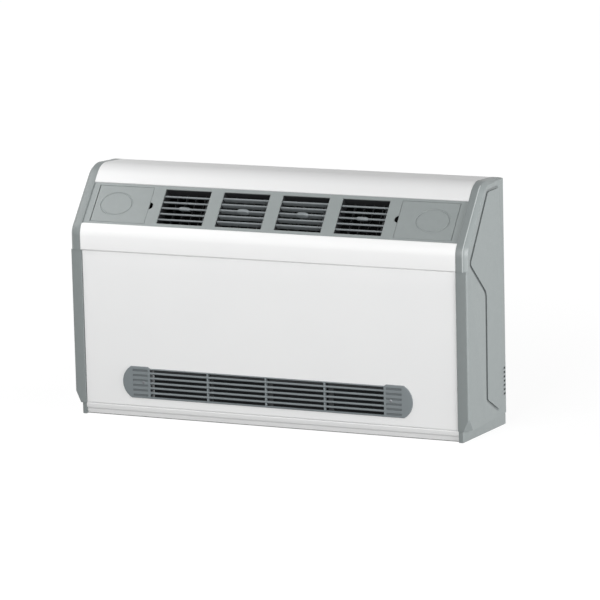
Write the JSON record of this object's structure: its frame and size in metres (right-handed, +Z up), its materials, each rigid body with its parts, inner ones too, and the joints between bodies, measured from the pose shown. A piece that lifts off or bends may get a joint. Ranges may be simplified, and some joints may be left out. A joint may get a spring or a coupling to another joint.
{
  "type": "fan coil unit",
  "caption": "Floor-standing cabinet fan coil unit with a sloped outlet deck, tilting louvre vents, hinged access doors and a low inlet grille.",
  "frame": {"origin": "on the floor, below the centre of the cabinet's width and depth", "axes": "+X along the cabinet to the right seen from the front, +Y from the front to the wall, +Z up"},
  "size_m": [1, 0.223, 0.578],
  "materials": {
    "cabinet_white": "semi-gloss powder coat",
    "cap_grey": "fine moulded texture",
    "deck_grey": "fine moulded texture",
    "louvre_grey": "fine moulded texture",
    "link_plastic": "plain",
    "vent_black": "plain",
    "chassis_steel": "galvanised",
    "fin_aluminium": "bare",
    "tube_copper": "bare copper",
    "valve_brass": "bare",
    "pan_plastic": "plain",
    "fan_plastic": "plain",
    "shaft_steel": "ground",
    "motor_paint": "satin",
    "mount_rubber": "plain",
    "tray_plastic": "plain",
    "knob_plastic": "plain",
    "filter_plastic": "plain",
    "filter_cloth": "woven mesh"
  },
  "bodies": {
    "cabinet": {"chassis_back": "chassis_steel", "left_gable": "chassis_steel", "right_gable": "chassis_steel", "front_panel": "cabinet_white", "top_rail": "cabinet_white", "front_band": "cabinet_white", "base_rail": "cabinet_white", "left_end_cap": "cap_grey", "right_end_cap": "cap_grey", "outlet_deck": "deck_grey", "door_hinge_pins": "shaft_steel", "vent_frames": "vent_black", "inlet_grille": "louvre_grey", "grille_screws": "shaft_steel", "filter_frame": "filter_plastic", "filter_mesh": "filter_cloth", "coil_fins": "fin_aluminium", "coil_tubes": "tube_copper", "return_bends": "tube_copper", "coil_end_plates": "chassis_steel", "coil_headers": "tube_copper", "bleed_valve": "valve_brass", "drain_pan": "pan_plastic", "fan_deck": "chassis_steel", "fan_housings": "chassis_steel", "motor_body": "motor_paint", "motor_bearings": "shaft_steel", "motor_grommets": "mount_rubber", "motor_bracket": "chassis_steel", "control_tray": "tray_plastic"},
    "left_door": {"left_door": "deck_grey"},
    "right_door": {"right_door": "deck_grey"},
    "fan_rotor": {"fan_wheels": "fan_plastic", "fan_shaft": "shaft_steel"},
    "speed_knob": {"speed_knob": "knob_plastic"},
    "thermostat_knob": {"thermostat_knob": "knob_plastic"},
    "vent_1_blade_1": {"louvre_1_1": "louvre_grey"},
    "vent_1_blade_2": {"louvre_1_2": "louvre_grey"},
    "vent_1_blade_3": {"louvre_1_3": "louvre_grey"},
    "vent_1_blade_4": {"louvre_1_4": "louvre_grey"},
    "vent_1_blade_5": {"louvre_1_5": "louvre_grey"},
    "vent_1_link": {"louvre_link_1": "link_plastic"},
    "vent_2_blade_1": {"louvre_2_1": "louvre_grey"},
    "vent_2_blade_2": {"louvre_2_2": "louvre_grey"},
    "vent_2_blade_3": {"louvre_2_3": "louvre_grey"},
    "vent_2_blade_4": {"louvre_2_4": "louvre_grey"},
    "vent_2_blade_5": {"louvre_2_5": "louvre_grey"},
    "vent_2_link": {"louvre_link_2": "link_plastic"},
    "vent_3_blade_1": {"louvre_3_1": "louvre_grey"},
    "vent_3_blade_2": {"louvre_3_2": "louvre_grey"},
    "vent_3_blade_3": {"louvre_3_3": "louvre_grey"},
    "vent_3_blade_4": {"louvre_3_4": "louvre_grey"},
    "vent_3_blade_5": {"louvre_3_5": "louvre_grey"},
    "vent_3_link": {"louvre_link_3": "link_plastic"},
    "vent_4_blade_1": {"louvre_4_1": "louvre_grey"},
    "vent_4_blade_2": {"louvre_4_2": "louvre_grey"},
    "vent_4_blade_3": {"louvre_4_3": "louvre_grey"},
    "vent_4_blade_4": {"louvre_4_4": "louvre_grey"},
    "vent_4_blade_5": {"louvre_4_5": "louvre_grey"},
    "vent_4_link": {"louvre_link_4": "link_plastic"}
  },
  "joints": [
    {"name": "left_door_hinge", "type": "hinge", "parent": "cabinet", "child": "left_door", "pos_m": [-0.4533, -0.05975, 0.49412], "axis": [0, -0.6374, -0.7705], "range_deg": [0, 100]},
    {"name": "right_door_hinge", "type": "hinge", "parent": "cabinet", "child": "right_door", "pos_m": [0.4533, -0.05975, 0.49412], "axis": [0, 0.6374, 0.7705], "range_deg": [0, 100]},
    {"name": "vent_1_follow_1", "type": "hinge", "parent": "cabinet", "child": "vent_1_blade_1", "pos_m": [-0.225, -0.07367, 0.46583], "axis": [1, 0, 0], "range_deg": [-43, 27]},
    {"name": "vent_1_follow_2", "type": "hinge", "parent": "cabinet", "child": "vent_1_blade_2", "pos_m": [-0.225, -0.0639, 0.47765], "axis": [1, 0, 0], "range_deg": [-43, 27]},
    {"name": "vent_1_tilt", "type": "hinge", "parent": "cabinet", "child": "vent_1_blade_3", "pos_m": [-0.225, -0.05412, 0.48946], "axis": [1, 0, 0], "range_deg": [-43, 27]},
    {"name": "vent_1_follow_4", "type": "hinge", "parent": "cabinet", "child": "vent_1_blade_4", "pos_m": [-0.225, -0.04435, 0.50128], "axis": [1, 0, 0], "range_deg": [-43, 27]},
    {"name": "vent_1_follow_5", "type": "hinge", "parent": "cabinet", "child": "vent_1_blade_5", "pos_m": [-0.225, -0.03458, 0.51309], "axis": [1, 0, 0], "range_deg": [-43, 27]},
    {"name": "vent_1_link_pivot", "type": "hinge", "parent": "vent_1_blade_3", "child": "vent_1_link", "pos_m": [-0.176, -0.04854, 0.48725], "axis": [1, 0, 0], "range_deg": [-27, 43]},
    {"name": "vent_2_follow_1", "type": "hinge", "parent": "cabinet", "child": "vent_2_blade_1", "pos_m": [-0.075, -0.07367, 0.46583], "axis": [1, 0, 0], "range_deg": [-17, 53]},
    {"name": "vent_2_follow_2", "type": "hinge", "parent": "cabinet", "child": "vent_2_blade_2", "pos_m": [-0.075, -0.0639, 0.47765], "axis": [1, 0, 0], "range_deg": [-17, 53]},
    {"name": "vent_2_tilt", "type": "hinge", "parent": "cabinet", "child": "vent_2_blade_3", "pos_m": [-0.075, -0.05412, 0.48946], "axis": [1, 0, 0], "range_deg": [-17, 53]},
    {"name": "vent_2_follow_4", "type": "hinge", "parent": "cabinet", "child": "vent_2_blade_4", "pos_m": [-0.075, -0.04435, 0.50128], "axis": [1, 0, 0], "range_deg": [-17, 53]},
    {"name": "vent_2_follow_5", "type": "hinge", "parent": "cabinet", "child": "vent_2_blade_5", "pos_m": [-0.075, -0.03458, 0.51309], "axis": [1, 0, 0], "range_deg": [-17, 53]},
    {"name": "vent_2_link_pivot", "type": "hinge", "parent": "vent_2_blade_3", "child": "vent_2_link", "pos_m": [-0.026, -0.05008, 0.48503], "axis": [1, 0, 0], "range_deg": [-53, 17]},
    {"name": "vent_3_follow_1", "type": "hinge", "parent": "cabinet", "child": "vent_3_blade_1", "pos_m": [0.075, -0.07367, 0.46583], "axis": [1, 0, 0], "range_deg": [-17, 53]},
    {"name": "vent_3_follow_2", "type": "hinge", "parent": "cabinet", "child": "vent_3_blade_2", "pos_m": [0.075, -0.0639, 0.47765], "axis": [1, 0, 0], "range_deg": [-17, 53]},
    {"name": "vent_3_tilt", "type": "hinge", "parent": "cabinet", "child": "vent_3_blade_3", "pos_m": [0.075, -0.05412, 0.48946], "axis": [1, 0, 0], "range_deg": [-17, 53]},
    {"name": "vent_3_follow_4", "type": "hinge", "parent": "cabinet", "child": "vent_3_blade_4", "pos_m": [0.075, -0.04435, 0.50128], "axis": [1, 0, 0], "range_deg": [-17, 53]},
    {"name": "vent_3_follow_5", "type": "hinge", "parent": "cabinet", "child": "vent_3_blade_5", "pos_m": [0.075, -0.03458, 0.51309], "axis": [1, 0, 0], "range_deg": [-17, 53]},
    {"name": "vent_3_link_pivot", "type": "hinge", "parent": "vent_3_blade_3", "child": "vent_3_link", "pos_m": [0.124, -0.05008, 0.48503], "axis": [1, 0, 0], "range_deg": [-53, 17]},
    {"name": "vent_4_follow_1", "type": "hinge", "parent": "cabinet", "child": "vent_4_blade_1", "pos_m": [0.225, -0.07367, 0.46583], "axis": [1, 0, 0], "range_deg": [-43, 27]},
    {"name": "vent_4_follow_2", "type": "hinge", "parent": "cabinet", "child": "vent_4_blade_2", "pos_m": [0.225, -0.0639, 0.47765], "axis": [1, 0, 0], "range_deg": [-43, 27]},
    {"name": "vent_4_tilt", "type": "hinge", "parent": "cabinet", "child": "vent_4_blade_3", "pos_m": [0.225, -0.05412, 0.48946], "axis": [1, 0, 0], "range_deg": [-43, 27]},
    {"name": "vent_4_follow_4", "type": "hinge", "parent": "cabinet", "child": "vent_4_blade_4", "pos_m": [0.225, -0.04435, 0.50128], "axis": [1, 0, 0], "range_deg": [-43, 27]},
    {"name": "vent_4_follow_5", "type": "hinge", "parent": "cabinet", "child": "vent_4_blade_5", "pos_m": [0.225, -0.03458, 0.51309], "axis": [1, 0, 0], "range_deg": [-43, 27]},
    {"name": "vent_4_link_pivot", "type": "hinge", "parent": "vent_4_blade_3", "child": "vent_4_link", "pos_m": [0.274, -0.04854, 0.48725], "axis": [1, 0, 0], "range_deg": [-27, 43]},
    {"name": "fan_spin", "type": "hinge", "parent": "cabinet", "child": "fan_rotor", "pos_m": [0, 0.015, 0.112], "axis": [1, 0, 0], "continuous": true},
    {"name": "speed_knob_turn", "type": "hinge", "parent": "cabinet", "child": "speed_knob", "pos_m": [0.3467, -0.04272, 0.48003], "axis": [0, -0.7705, 0.6374], "range_deg": [0, 120]},
    {"name": "thermostat_knob_turn", "type": "hinge", "parent": "cabinet", "child": "thermostat_knob", "pos_m": [0.4027, -0.04272, 0.48003], "axis": [0, -0.7705, 0.6374], "range_deg": [-135, 135]}
  ],
  "couplings": [
    {"joint": "vent_1_follow_1", "follows": "vent_1_tilt", "ratio": 1},
    {"joint": "vent_1_follow_2", "follows": "vent_1_tilt", "ratio": 1},
    {"joint": "vent_1_follow_4", "follows": "vent_1_tilt", "ratio": 1},
    {"joint": "vent_1_follow_5", "follows": "vent_1_tilt", "ratio": 1},
    {"joint": "vent_1_link_pivot", "follows": "vent_1_tilt", "ratio": -1},
    {"joint": "vent_2_follow_1", "follows": "vent_2_tilt", "ratio": 1},
    {"joint": "vent_2_follow_2", "follows": "vent_2_tilt", "ratio": 1},
    {"joint": "vent_2_follow_4", "follows": "vent_2_tilt", "ratio": 1},
    {"joint": "vent_2_follow_5", "follows": "vent_2_tilt", "ratio": 1},
    {"joint": "vent_2_link_pivot", "follows": "vent_2_tilt", "ratio": -1},
    {"joint": "vent_3_follow_1", "follows": "vent_3_tilt", "ratio": 1},
    {"joint": "vent_3_follow_2", "follows": "vent_3_tilt", "ratio": 1},
    {"joint": "vent_3_follow_4", "follows": "vent_3_tilt", "ratio": 1},
    {"joint": "vent_3_follow_5", "follows": "vent_3_tilt", "ratio": 1},
    {"joint": "vent_3_link_pivot", "follows": "vent_3_tilt", "ratio": -1},
    {"joint": "vent_4_follow_1", "follows": "vent_4_tilt", "ratio": 1},
    {"joint": "vent_4_follow_2", "follows": "vent_4_tilt", "ratio": 1},
    {"joint": "vent_4_follow_4", "follows": "vent_4_tilt", "ratio": 1},
    {"joint": "vent_4_follow_5", "follows": "vent_4_tilt", "ratio": 1},
    {"joint": "vent_4_link_pivot", "follows": "vent_4_tilt", "ratio": -1}
  ]
}
